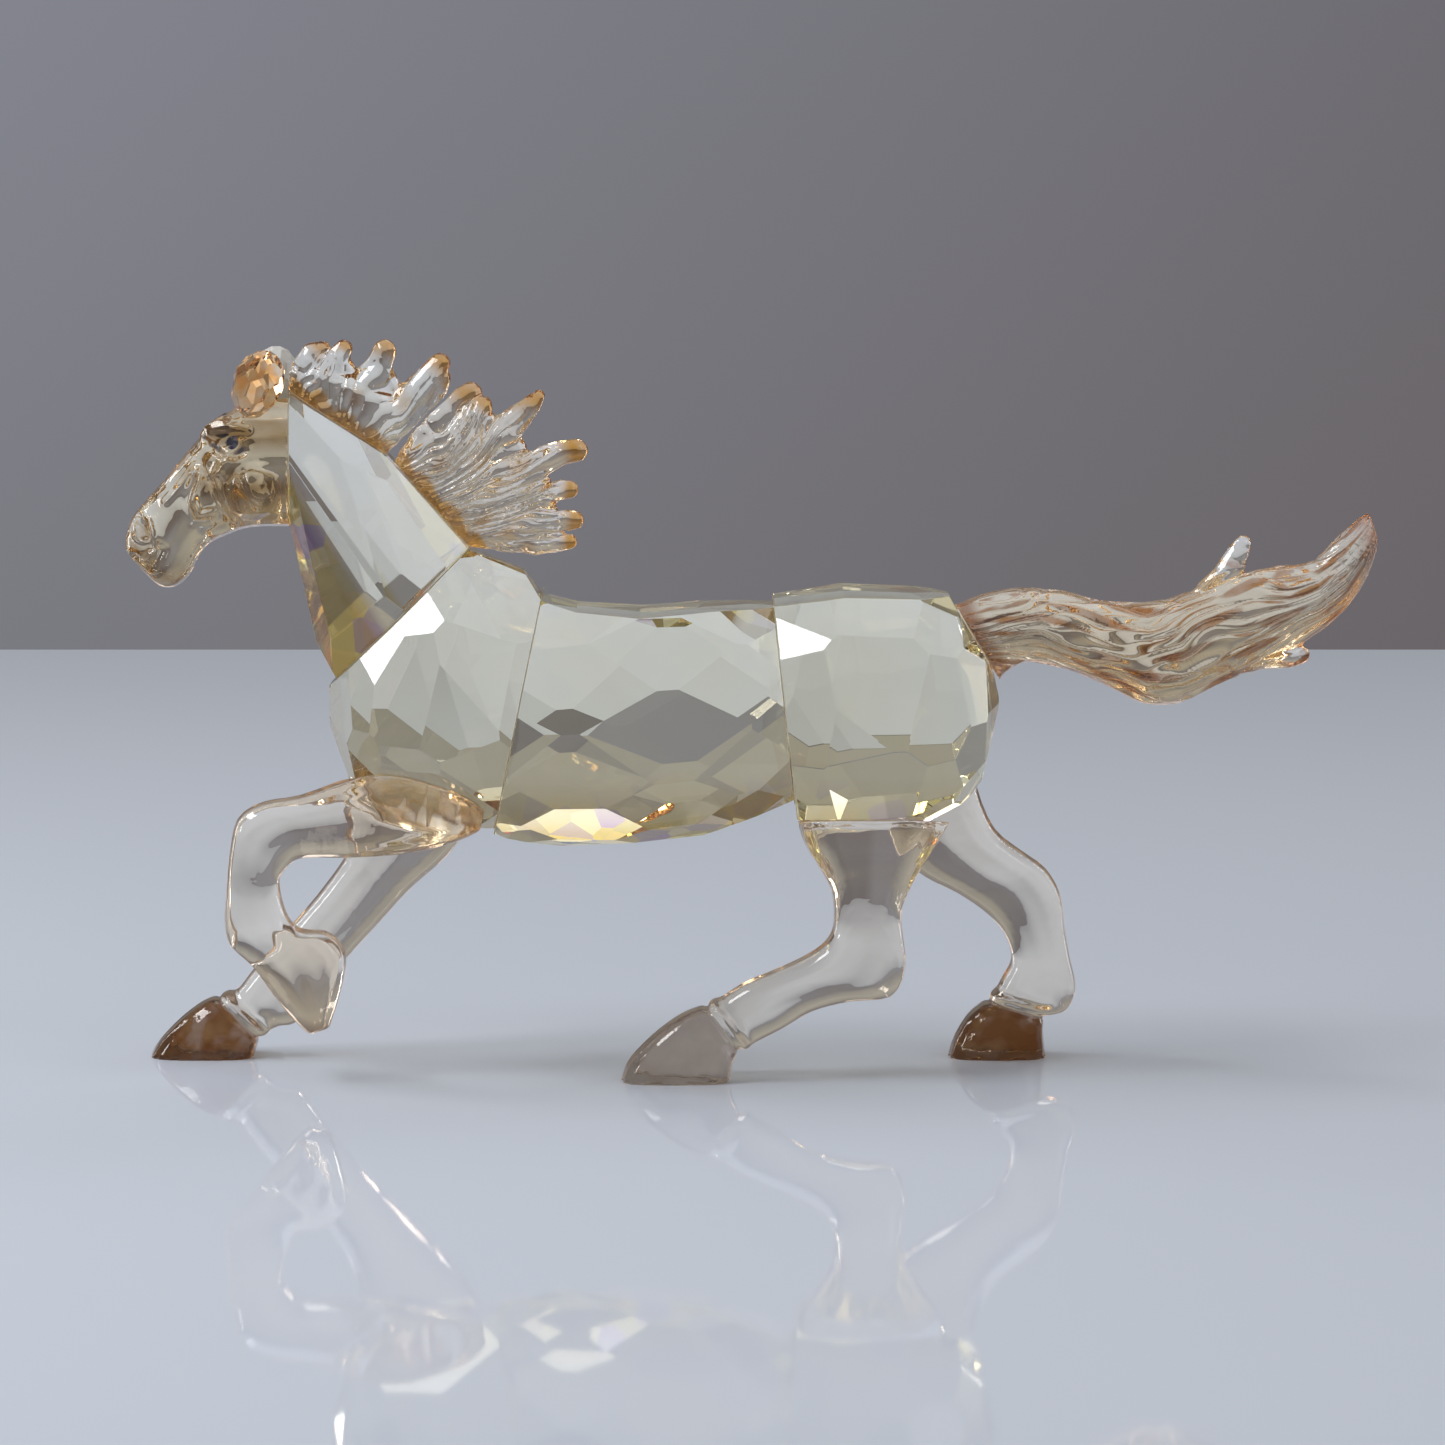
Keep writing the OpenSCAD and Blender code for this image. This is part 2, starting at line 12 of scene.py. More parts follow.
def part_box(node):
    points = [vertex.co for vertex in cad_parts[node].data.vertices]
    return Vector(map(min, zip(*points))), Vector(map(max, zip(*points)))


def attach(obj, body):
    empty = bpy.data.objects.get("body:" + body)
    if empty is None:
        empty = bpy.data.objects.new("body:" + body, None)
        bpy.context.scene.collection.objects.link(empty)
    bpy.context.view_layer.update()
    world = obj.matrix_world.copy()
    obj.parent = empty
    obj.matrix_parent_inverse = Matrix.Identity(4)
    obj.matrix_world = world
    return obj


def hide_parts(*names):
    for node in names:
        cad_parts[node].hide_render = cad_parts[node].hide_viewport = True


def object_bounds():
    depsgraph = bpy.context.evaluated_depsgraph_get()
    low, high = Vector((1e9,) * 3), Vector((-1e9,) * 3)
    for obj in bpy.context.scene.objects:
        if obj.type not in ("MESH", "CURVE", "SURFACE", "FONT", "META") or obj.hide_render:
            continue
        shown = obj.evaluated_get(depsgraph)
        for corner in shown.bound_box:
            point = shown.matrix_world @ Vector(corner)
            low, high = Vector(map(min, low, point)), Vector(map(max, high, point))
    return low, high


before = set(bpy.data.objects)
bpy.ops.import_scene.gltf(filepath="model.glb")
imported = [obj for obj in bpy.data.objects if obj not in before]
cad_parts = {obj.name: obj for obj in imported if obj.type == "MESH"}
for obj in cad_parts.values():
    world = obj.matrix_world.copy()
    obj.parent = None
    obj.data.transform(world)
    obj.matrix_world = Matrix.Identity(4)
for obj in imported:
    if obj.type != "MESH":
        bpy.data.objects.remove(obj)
cad_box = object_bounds()
LOW, HIGH = Vector(cad_box[0]), Vector(cad_box[1])

MM = 0.001
STONES = ("neck_stone", "shoulder_stone", "barrel_stone", "haunch_stone")
FILMS = sorted(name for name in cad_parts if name.startswith("bond_"))
STONE_JOINTS = ("bond_head_neck", "bond_neck_shoulder", "bond_shoulder_barrel", "bond_barrel_haunch")

# camera
VIEW_ELEVATION = math.radians(6)
VIEW_DISTANCE = 1.0
LENS = 174.4
SENSOR = 36
TARGET_SHIFT = -4.2 * MM  # the picture's middle lies a little ahead of the box's middle
TARGET_HEIGHT = 49.8 * MM

# surfaces
WELD_DISTANCE = 0.002 * MM  # joins the split edges of the CAD meshes
CASTING_VOXEL = 0.3 * MM
STRAND_VOXEL = 0.24 * MM
STONE_EDGE = 0.08 * MM
STONE_EDGE_ANGLE = math.radians(3)  # facets that meet more steeply have a polished edge
HOLD_DEPTH = 0.8 * MM  # a ground face keeps its shape this far into the glass
SMOOTHING_STEPS = (0.55, -0.57)  # in, then back out, so that nothing shrinks
WAVE_HEIGHT = 0.00003  # the castings' faint waviness
WAVE_SCALE = 120

# refractive indices
CRYSTAL_IOR = 1.6
BEAD_IOR = 1.56
CAST_GLASS_IOR = 1.52
ADHESIVE_IOR = 1.5
TABLE_IOR = 1.5

# the stones' painted reflections, gold and violet patches standing in for the coating's coloured sheen and
# the room seen through the stone: a direction, and how far along it in millimetres they begin and are full
THROAT_PAINTED_REFLECTION = ((-0.846, 0, -0.535), 8.9, 10.4)
BELLY_PAINTED_REFLECTION = ((0, 0, -1), -44, -35)

# the table top
TABLE_SIDES = 8
TABLE_REACH = 0.64
TABLE_THICKNESS = 0.02
TABLE_GLOSS = 0.72  # share of a full mirror coat

# softboxes: name, azimuth and elevation in degrees, distance, width and height, power in watts
SOFTBOXES = (
    ("key", -82, 48, 0.8, 0.75, 0.14, 4.0),
    ("low_key", -71, 17, 0.8, 0.16, 0.14, 0.9),
    ("fill", 55, 30, 0.9, 0.35, 0.55, 1.0),
    ("rim", 160, 50, 0.9, 0.60, 0.30, 0.7),
    ("left_strip", -118, 14, 0.8, 0.04, 0.50, 0.6),
    ("right_strip", 122, 14, 0.8, 0.04, 0.50, 0.6),
)


# ---------------------------------------------------------------- meshes


def add_object(name, mesh):
    obj = bpy.data.objects.new(name, mesh)
    bpy.context.scene.collection.objects.link(obj)
    return obj


def points_of(obj):
    co = np.empty(len(obj.data.vertices) * 3)
    obj.data.vertices.foreach_get("co", co)
    return co.reshape(-1, 3)


def set_points(obj, points):
    obj.data.vertices.foreach_set("co", points.ravel())
    obj.data.update()


def normals_of(obj):
    normals = np.empty(len(obj.data.vertices) * 3)
    obj.data.vertex_normals.foreach_get("vector", normals)
    return normals.reshape(-1, 3)


def smoothstep(low, high, value):
    t = np.clip((value - low) / (high - low), 0, 1)
    return t * t * (3 - 2 * t)


def bake_modifiers(obj):
    depsgraph = bpy.context.evaluated_depsgraph_get()
    mesh = bpy.data.meshes.new_from_object(obj.evaluated_get(depsgraph))
    obj.modifiers.clear()
    obj.data = mesh


def cad_copy(node, name):
    """A closed copy of a CAD node's mesh, with its split edges welded."""
    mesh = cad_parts[node].data.copy()
    mesh.name = name
    mesh.materials.clear()
    bm = bmesh.new()
    bm.from_mesh(mesh)
    bmesh.ops.remove_doubles(bm, verts=bm.verts, dist=WELD_DISTANCE)
    bm.to_mesh(mesh)
    bm.free()
    return add_object(name, mesh)


def fuse(obj, voxel):
    """Melts overlapping bodies into one closed surface."""
    remesh = obj.modifiers.new("fuse", "REMESH")
    remesh.mode = "VOXEL"
    remesh.voxel_size = voxel
    bake_modifiers(obj)


def relax(obj, rounds, hold):
    """Smooths a surface without shrinking it; hold is each point's share of staying put."""
    mesh = obj.data
    edges = np.empty(len(mesh.edges) * 2, int)
    mesh.edges.foreach_get("vertices", edges)
    a, b = edges.reshape(-1, 2).T
    count = len(mesh.vertices)
    neighbours = np.maximum(np.bincount(a, minlength=count) + np.bincount(b, minlength=count), 1)
    free = 1 - hold
    co = points_of(obj)
    for step in SMOOTHING_STEPS * rounds:
        total = np.empty_like(co)
        for axis in range(3):
            column = co[:, axis]
            total[:, axis] = np.bincount(a, column[b], count) + np.bincount(b, column[a], count)
        co = co + (step * free)[:, None] * (total / neighbours[:, None] - co)
    set_points(obj, co)


def shade_smooth(obj):
    obj.data.polygons.foreach_set("use_smooth", [True] * len(obj.data.polygons))


def ground_faces(obj, planes):
    """1 on the ground faces, falling to 0 inside the glass. Each plane is a point and an inward normal."""
    hold = np.zeros(len(obj.data.vertices))
    co = points_of(obj)
    for point, inward in planes:
        depth = (co - np.array(point)) @ np.array(Vector(inward).normalized())
        hold = np.maximum(hold, 1 - smoothstep(0, HOLD_DEPTH, depth))
    return hold


def largest_flat(node, toward):
    """A point on a node's largest flat face that looks towards a direction, and that face's inward normal."""
    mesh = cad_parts[node].data
    toward = Vector(toward).normalized()
    groups = {}
    for face in mesh.polygons:
        if face.normal.dot(toward) > 0.6:
            key = tuple(round(c, 2) for c in face.normal)
            area, centre = groups.get(key, (0, Vector()))
            groups[key] = (area + face.area, centre + face.area * face.center)
    key, (area, centre) = max(groups.items(), key=lambda item: item[1][0])
    return centre / area, -Vector(key)


def put(obj, node):
    """Hangs a finished piece on the frame in its CAD node's place."""
    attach(obj, "root")
    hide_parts(node)


def mark(obj, name, values):
    """Writes a number per point for the material to read."""
    layer = obj.data.attributes.new(name, "FLOAT", "POINT")
    layer.data.foreach_set("value", np.asarray(values, np.float32))


# ---------------------------------------------------------------- materials


def glass(name, ior, tint, absorb, density, roughness=0.0):
    """Clear glass with a body colour. Returns the material, its links and its surface shader."""
    material = bpy.data.materials.new(name)
    material.use_nodes = True
    nodes, links = material.node_tree.nodes, material.node_tree.links
    surface = nodes["Principled BSDF"]
    surface.inputs["Base Color"].default_value = (*tint, 1)
    surface.inputs["Transmission Weight"].default_value = 1
    surface.inputs["Roughness"].default_value = roughness
    surface.inputs["IOR"].default_value = ior
    volume = nodes.new("ShaderNodeVolumeAbsorption")
    volume.inputs["Color"].default_value = (*absorb, 1)
    volume.inputs["Density"].default_value = density
    links.new(volume.outputs["Volume"], nodes["Material Output"].inputs["Volume"])
    return material, nodes, links, surface


def noise(nodes, links, scale, detail=2.0, distortion=0.0):
    where = nodes.new("ShaderNodeTexCoord").outputs["Object"]
    texture = nodes.new("ShaderNodeTexNoise")
    texture.inputs["Scale"].default_value = scale
    texture.inputs["Detail"].default_value = detail
    texture.inputs["Distortion"].default_value = distortion
    links.new(where, texture.inputs["Vector"])
    return texture.outputs["Fac"]


def ramp(nodes, links, value, stops):
    node = nodes.new("ShaderNodeValToRGB")
    elements = node.color_ramp.elements
    elements[0].position, elements[0].color = stops[0][0], (*stops[0][1], 1)
    elements[1].position, elements[1].color = stops[-1][0], (*stops[-1][1], 1)
    for position, color in stops[1:-1]:
        elements.new(position).color = (*color, 1)
    links.new(value, node.inputs["Fac"])
    return node.outputs["Color"]


def mix_color(nodes, links, factor, first, second):
    """A mix whose factor is a socket, and whose colours are sockets or plain colours."""
    node = nodes.new("ShaderNodeMix")
    node.data_type = "RGBA"
    links.new(factor, node.inputs[0])
    for socket, value in ((node.inputs[6], first), (node.inputs[7], second)):
        if isinstance(value, bpy.types.NodeSocket):
            links.new(value, socket)
        else:
            socket.default_value = (*value, 1)
    return node.outputs[2]


def arithmetic(nodes, links, operation, first, second):
    node = nodes.new("ShaderNodeMath")
    node.operation = operation
    for socket, value in zip(node.inputs, (first, second)):
        if isinstance(value, bpy.types.NodeSocket):
            links.new(value, socket)
        else:
            socket.default_value = value
    return node.outputs[0]


def bump(nodes, links, surface, height, distance):
    node = nodes.new("ShaderNodeBump")
    node.inputs["Strength"].default_value = 1
    node.inputs["Distance"].default_value = distance
    links.new(height, node.inputs["Height"])
    links.new(node.outputs["Normal"], surface.inputs["Normal"])


def stone_material(name, toward, begins, full):
    """Pale champagne crystal, with a painted reflection in its far end along a direction: golden and violet
    patches for its coating's sheen and the room seen through it.
    """
    material, nodes, links, surface = glass(name, CRYSTAL_IOR, (1, 1, 1), (0.87, 0.81, 0.46), 12)
    drift = noise(nodes, links, 60)
    pale = ramp(nodes, links, drift, [(0.35, (1.0, 0.99, 0.955)), (0.65, (1.0, 0.97, 0.89))])
    where = nodes.new("ShaderNodeTexCoord").outputs["Object"]
    distance = nodes.new("ShaderNodeVectorMath")
    distance.operation = "DOT_PRODUCT"
    distance.inputs[1].default_value = toward
    links.new(where, distance.inputs[0])
    limits = nodes.new("ShaderNodeMapRange")
    limits.inputs["From Min"].default_value = begins * MM
    limits.inputs["From Max"].default_value = full * MM
    links.new(distance.outputs["Value"], limits.inputs["Value"])
    # painted reflection: a mosaic of gold and violet cells laid into the crystal's colour
    cells = nodes.new("ShaderNodeTexVoronoi")
    cells.inputs["Scale"].default_value = 230
    links.new(where, cells.inputs["Vector"])
    painted_reflection = ramp(nodes, links, cells.outputs["Color"], [
        (0.22, (0.40, 0.25, 0.52)), (0.30, (0.55, 0.42, 0.08)), (0.48, (0.88, 0.60, 0.12)),
        (0.62, (0.60, 0.48, 0.12)), (0.78, (0.98, 0.80, 0.36)),
    ])
    tint = mix_color(nodes, links, limits.outputs["Result"], pale, painted_reflection)
    links.new(tint, surface.inputs["Base Color"])
    return material


def casting_material(name, clear, amber, rim, absorb, density):
    """Fire-polished glass: amber where the mesh says so, painted shade in dark amber at its rims, and faintly
    wavy.
    """
    material, nodes, links, surface = glass(name, CAST_GLASS_IOR, clear, absorb, density)
    tint = nodes.new("ShaderNodeAttribute")
    tint.attribute_name = "amber"
    patch = noise(nodes, links, 220, 2)
    patch = ramp(nodes, links, patch, [(0.35, (0.7, 0.7, 0.7)), (0.6, (1, 1, 1))])
    strength = arithmetic(nodes, links, "MULTIPLY", tint.outputs["Fac"], patch)
    color = mix_color(nodes, links, strength, clear, amber)
    # painted shade: where the surface turns away from the view it takes the dark amber rim colour, for the
    # glass's deeper colour at its edges and the shade along its outlines and grooves
    facing = nodes.new("ShaderNodeLayerWeight")
    edge = ramp(nodes, links, facing.outputs["Facing"], [(0.45, (0, 0, 0)), (0.82, (1, 1, 1))])
    color = mix_color(nodes, links, edge, color, rim)
    links.new(color, surface.inputs["Base Color"])
    stipple = arithmetic(nodes, links, "MULTIPLY", tint.outputs["Fac"], noise(nodes, links, 1100, 2))
    drawn = noise(nodes, links, WAVE_SCALE, 1.5, 0.4)
    bump(nodes, links, surface, arithmetic(nodes, links, "ADD", drawn, stipple), WAVE_HEIGHT)
    return material


def bead_material(name, deep, pale, absorb, density, clearness=1.0, roughness=0.0):
    """A faceted bead whose colour gathers in patches."""
    material, nodes, links, surface = glass(name, BEAD_IOR, pale, absorb, density, roughness)
    surface.inputs["Transmission Weight"].default_value = clearness
    patch = noise(nodes, links, 420, 2)
    color = ramp(nodes, links, patch, [(0.4, pale), (0.62, deep)])
    links.new(color, surface.inputs["Base Color"])
    return material


def gem_material():
    """Dark blue eye stone, paler where its facets thin out."""
    material, nodes, links, surface = glass(
        "eye_stone", CRYSTAL_IOR, (0.2, 0.3, 0.7), (0.2, 0.3, 0.8), 900
    )
    patch = noise(nodes, links, 900, 1)
    color = ramp(nodes, links, patch, [(0.4, (0.10, 0.16, 0.5)), (0.65, (0.45, 0.6, 0.95))])
    links.new(color, surface.inputs["Base Color"])
    return material


def film_material(name, haze):
    """Cured adhesive: clear and faintly golden, with the odd tiny bubble."""
    material, nodes, links, surface = glass(
        name, ADHESIVE_IOR, (1.0, 0.95, 0.8), (0.95, 0.85, 0.5), 20, haze
    )
    bubbles = noise(nodes, links, 900, 2)
    color = ramp(nodes, links, bubbles, [(0.45, (1.0, 0.96, 0.84)), (0.7, (1.0, 0.84, 0.55))])
    links.new(color, surface.inputs["Base Color"])
    return material


# ---------------------------------------------------------------- stage, light and camera


def table_top():
    """A pale glossy table top with eight straight edges."""
    half_side = math.pi / TABLE_SIDES
    radius = TABLE_REACH / math.cos(half_side)
    bm = bmesh.new()
    bmesh.ops.create_cone(
        bm, cap_ends=True, segments=TABLE_SIDES, radius1=radius, radius2=radius, depth=TABLE_THICKNESS,
        matrix=Matrix.Translation((0, 0, -TABLE_THICKNESS / 2)) @ Matrix.Rotation(half_side, 4, "Z"),
    )
    mesh = bpy.data.meshes.new("table_top")
    bm.to_mesh(mesh)
    bm.free()
    table = add_object("table_top", mesh)
    edge = table.modifiers.new("edge", "BEVEL")
    edge.width = 0.003
    edge.segments = 3
    material = bpy.data.materials.new("pale_table")
    material.use_nodes = True
    nodes, links = material.node_tree.nodes, material.node_tree.links
    nodes.remove(nodes["Principled BSDF"])
    matte = nodes.new("ShaderNodeBsdfDiffuse")
    cloudy = noise(nodes, links, 2, 1)
    tone = ramp(nodes, links, cloudy, [(0.3, (0.585, 0.64, 0.745)), (0.7, (0.62, 0.675, 0.78))])
    links.new(tone, matte.inputs["Color"])
    polish = nodes.new("ShaderNodeBsdfGlossy")
    polish.inputs["Roughness"].default_value = 0.03
    polish.inputs["Color"].default_value = (0.95, 0.97, 1, 1)
    mix = nodes.new("ShaderNodeMixShader")
    gloss = nodes.new("ShaderNodeFresnel")
    gloss.inputs["IOR"].default_value = TABLE_IOR
    share = arithmetic(nodes, links, "MULTIPLY", gloss.outputs["Fac"], TABLE_GLOSS)
    links.new(share, mix.inputs["Fac"])
    links.new(matte.outputs["BSDF"], mix.inputs[1])
    links.new(polish.outputs["BSDF"], mix.inputs[2])
    links.new(mix.outputs["Shader"], nodes["Material Output"].inputs["Surface"])
    table.data.materials.append(material)


def world_light():
    """A plain grey room, the same for every ray: softly banded by height, and darker on the right."""
    world = bpy.data.worlds.new("studio")
    bpy.context.scene.world = world
    world.use_nodes = True
    nodes, links = world.node_tree.nodes, world.node_tree.links
    direction = nodes.new("ShaderNodeTexCoord").outputs["Generated"]
    split = nodes.new("ShaderNodeSeparateXYZ")
    links.new(direction, split.inputs["Vector"])

    def span(axis, low, high):
        """0 where a direction's axis component is at low, 1 where it is at high."""
        limits = nodes.new("ShaderNodeMapRange")
        limits.inputs["From Min"].default_value = low
        limits.inputs["From Max"].default_value = high
        links.new(split.outputs[axis], limits.inputs["Value"])
        return limits.outputs["Result"]

    height = span("Z", -1, 1)
    left = ramp(nodes, links, height, [
        (0.0, (0.35, 0.36, 0.38)), (0.44, (0.19, 0.195, 0.21)), (0.50, (0.235, 0.24, 0.28)),
        (0.52, (0.22, 0.22, 0.23)), (0.56, (0.29, 0.285, 0.27)), (0.63, (0.37, 0.36, 0.325)),
        (0.85, (0.22, 0.21, 0.22)), (0.93, (0.40, 0.40, 0.42)), (1.0, (0.9, 0.9, 0.9)),
    ])
    right = ramp(nodes, links, height, [
        (0.0, (0.30, 0.30, 0.31)), (0.44, (0.14, 0.12, 0.125)), (0.50, (0.15, 0.145, 0.16)),
        (0.52, (0.16, 0.155, 0.16)), (0.56, (0.26, 0.255, 0.24)), (0.63, (0.35, 0.34, 0.305)),
        (0.85, (0.18, 0.17, 0.17)), (0.93, (0.36, 0.35, 0.36)), (1.0, (0.9, 0.9, 0.9)),
    ])
    color = mix_color(nodes, links, span("X", -0.12, 0.12), left, right)
    links.new(color, nodes["Background"].inputs["Color"])


def softbox(name, azimuth, elevation, distance, width, height, power):
    """A softbox that looks at the figurine's middle."""
    lamp = bpy.data.lights.new(name, "AREA")
    lamp.shape = "RECTANGLE"
    lamp.size, lamp.size_y = width, height
    lamp.energy = power
    obj = add_object(name, lamp)
    a, e = math.radians(azimuth), math.radians(elevation)
    middle = (LOW + HIGH) / 2
    away = Vector((math.sin(a) * math.cos(e), -math.cos(a) * math.cos(e), math.sin(e)))
    obj.location = middle + distance * away
    obj.rotation_euler = away.to_track_quat("Z", "Y").to_euler()


def add_camera():
    data = bpy.data.cameras.new("camera")
    data.sensor_width = SENSOR
    data.lens = LENS
    camera = add_object("camera", data)
    target = Vector(((LOW.x + HIGH.x) / 2 + TARGET_SHIFT, 0, TARGET_HEIGHT))
    back = Vector((0, -math.cos(VIEW_ELEVATION), math.sin(VIEW_ELEVATION)))
    camera.location = target + VIEW_DISTANCE * back
    camera.rotation_euler = back.to_track_quat("Z", "Y").to_euler()
    bpy.context.scene.camera = camera


# ---------------------------------------------------------------- pieces


def dress(name, material):
    """Gives a CAD node its material, and returns the node's object."""
    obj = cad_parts[name]
    obj.data.materials.clear()
    obj.data.materials.append(material)
    return obj


def dress_stones():
    # painted reflections: the neck's crystal has its golden patches at the throat, the other stones theirs at
    # the belly
    throat = stone_material("throat_crystal_painted_reflection", *THROAT_PAINTED_REFLECTION)
    body = stone_material("body_crystal_painted_reflection", *BELLY_PAINTED_REFLECTION)
    for name in STONES:
        stone = dress(name, throat if name == "neck_stone" else body)
        weld = stone.modifiers.new("weld", "WELD")
        weld.merge_threshold = WELD_DISTANCE
        edges = stone.modifiers.new("polished_edges", "BEVEL")
        edges.width = STONE_EDGE
        edges.segments = 1
        edges.limit_method = "ANGLE"
        edges.angle_limit = STONE_EDGE_ANGLE


def dress_films():
    hazy = film_material("hazy_adhesive", 0.3)
    clear = film_material("clear_adhesive", 0.02)
    for name in FILMS:
        dress(name, hazy if name in STONE_JOINTS else clear)


def dress_ears_and_eyes():
    amber, pale = (1.0, 0.90, 0.76), (0.92, 0.92, 0.90)
    dress("ear_left", bead_material("amber_bead", (1.0, 0.55, 0.20), amber, (0.95, 0.72, 0.4), 60))
    dress("ear_right", bead_material(
        "pale_bead", (0.85, 0.83, 0.78), pale, (0.95, 0.92, 0.85), 20, clearness=0.45, roughness=0.25
    ))
    gem = gem_material()
    for name in ("eye_left", "eye_right"):
        dress(name, gem)


# Where a standing hoof begins: its coronet's front and back, (x, z) in millimetres, and its depth of colour
CORONETS = {
    "leg_front_right": ((-77, 8.4), (-71.4, 2.8), 1.35),
    "leg_hind_left": ((-6.4, 10.5), (-1.7, 4.35), 0.62),
    "leg_hind_right": ((34.7, 8.1), (42.6, 5.7), 1.35),
}


def leg(node, glue_normal, material):
    obj = cad_copy(node, node + "_glass")
    fuse(obj, CASTING_VOXEL)
    planes = [largest_flat(node, glue_normal)]
    standing = node in CORONETS
    if standing:
        planes.append((Vector((0, 0, LOW.z)), Vector((0, 0, 1))))
    hold = ground_faces(obj, planes)
    relax(obj, 24, hold)
    co = points_of(obj)
    if standing:
        front, back = (np.array(p) * MM for p in CORONETS[node][:2])
        depth = CORONETS[node][2]
        up = np.array((front[1] - back[1], back[0] - front[0])) / np.linalg.norm(back - front)
        above = (co[:, (0, 2)] - front) @ up
        groove = -0.40 * np.exp(-((above / (0.45 * MM)) ** 2))
        swell = 0.30 * np.exp(-(((above - 1.1 * MM) / (0.8 * MM)) ** 2))
        lift = (groove + swell) * MM * (1 - hold)
        set_points(obj, co + lift[:, None] * normals_of(obj))
        amber = 1 - smoothstep(-0.3 * MM, 0.5 * MM, above)
        # painted shade: the hoof's colour deepens where its surface turns away from the sides, as along its
        # outline seen from the side
        rim = 1 - smoothstep(0.45, 0.95, np.abs(normals_of(obj)[:, 1]))
        sole = 1 - smoothstep(0.4 * MM, 2.2 * MM, co[:, 2])
        amber *= depth * (0.8 + 0.2 * np.maximum(rim, sole))
    else:
        amber = 0.7 * (1 - smoothstep(0.5 * MM, 3.0 * MM, co[:, 2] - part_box(node)[0].z))
    shade_smooth(obj)
    mark(obj, "amber", amber)
    obj.data.materials.append(material)
    put(obj, node)


# A strand family's key strands, each its root, middle and tip in shares of the node's length and height
FRONT_STRANDS = (
    ((0.04, 0.506), (0.0415, 0.648), (0.237, 0.938)),
    ((0.177, 0.389), (0.2065, 0.602), (0.358, 0.975)),
    ((0.349, 0.235), (0.4275, 0.371), (0.608, 0.975)),
    ((0.50, 0.10), (0.70, 0.222), (0.961, 0.84)),
    ((0.59, 0.012), (0.828, 0.137), (0.978, 0.654)),
)
REAR_STRANDS = (
    ((0.007, 0.538), (0.20, 0.62), (0.40, 0.984)),
    ((0.07, 0.457), (0.36, 0.52), (0.49, 0.903)),
    ((0.142, 0.368), (0.52, 0.46), (0.764, 0.943)),
    ((0.222, 0.267), (0.58, 0.40), (0.978, 0.611)),
    ((0.287, 0.186), (0.62, 0.31), (0.935, 0.385)),
    ((0.342, 0.117), (0.613, 0.20), (0.964, 0.206)),
    ((0.389, 0.061), (0.60, 0.05), (0.93, 0.081)),
)
# The tail's outline without its tufts: share of its length, then of its height below and above
TAIL_OUTLINE = np.array((
    (0.02, 0.18, 0.52), (0.20, 0.22, 0.615), (0.29, 0.17, 0.60), (0.37, 0.10, 0.555), (0.45, 0.01, 0.54),
    (0.53, 0.01, 0.57), (0.61, 0.10, 0.64), (0.70, 0.18, 0.71), (0.78, 0.26, 0.73), (0.855, 0.37, 0.76),
    (0.92, 0.50, 0.86), (0.965, 0.665, 0.96), (0.99, 0.84, 1.0),
))


SAMPLES_ACROSS = 12  # for each key strand
SAMPLES_ALONG = 40
NEAREST = 4


def shares(node, co):
    """Points as shares of a node's length and height."""
    low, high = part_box(node)
    return (co[:, 0] - low.x) / (high.x - low.x), (co[:, 2] - low.z) / (high.z - low.z)


def along_strands(node, keys, co):
    """For each point, how far across the strand family it lies and how far along its strand."""
    keys = np.array(keys)
    low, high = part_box(node)
    size = np.array((high.x - low.x, high.z - low.z))
    across = np.linspace(0, len(keys) - 1, SAMPLES_ACROSS * len(keys))
    whole = np.minimum(across.astype(int), len(keys) - 2)
    part = (across - whole)[:, None, None]
    root, middle, tip = ((1 - part) * keys[whole] + part * keys[whole + 1]).transpose(1, 0, 2)
    tree = KDTree(SAMPLES_ALONG * len(across))
    places = []
    for t in np.linspace(0, 1, SAMPLES_ALONG):
        bend = (1 - t) ** 2 * root + 2 * t * (1 - t) * middle + t * t * tip
        for s, (x, z) in zip(across, bend * size):
            tree.insert((x, 0, z), len(places))
            places.append((s, t))
    tree.balance()
    places = np.array(places)
    found = np.empty((len(co), 2))
    for i, (x, z) in enumerate(co[:, (0, 2)] - np.array((low.x, low.z))):
        near = tree.find_n((x, 0, z), NEAREST)
        weights = np.array([1 / (distance + 0.05 * MM) for _, _, distance in near])
        found[i] = weights @ places[[index for _, index, _ in near]] / weights.sum()
    return found[:, 0], found[:, 1]


def ridge(phase, sharpness=0.7):
    """Rounded ridges with sharp valleys, one for each whole step of the phase."""
    return np.abs(np.sin(np.pi * phase)) ** sharpness


def casting(node, glue_normal, voxel, rounds):
    """A smooth closed copy of a CAD casting, and each point's depth behind its ground face."""
    obj = cad_copy(node, node + "_glass")
    fuse(obj, voxel)
    plane = largest_flat(node, glue_normal)
    hold = ground_faces(obj, [plane])
    relax(obj, rounds, hold)
    depth = (points_of(obj) - np.array(plane[0])) @ np.array(plane[1])
    return obj, hold, depth


def finish_casting(obj, node, material, amber):
    shade_smooth(obj)
    mark(obj, "amber", np.clip(amber, 0, 1))
    obj.data.materials.append(material)
    put(obj, node)


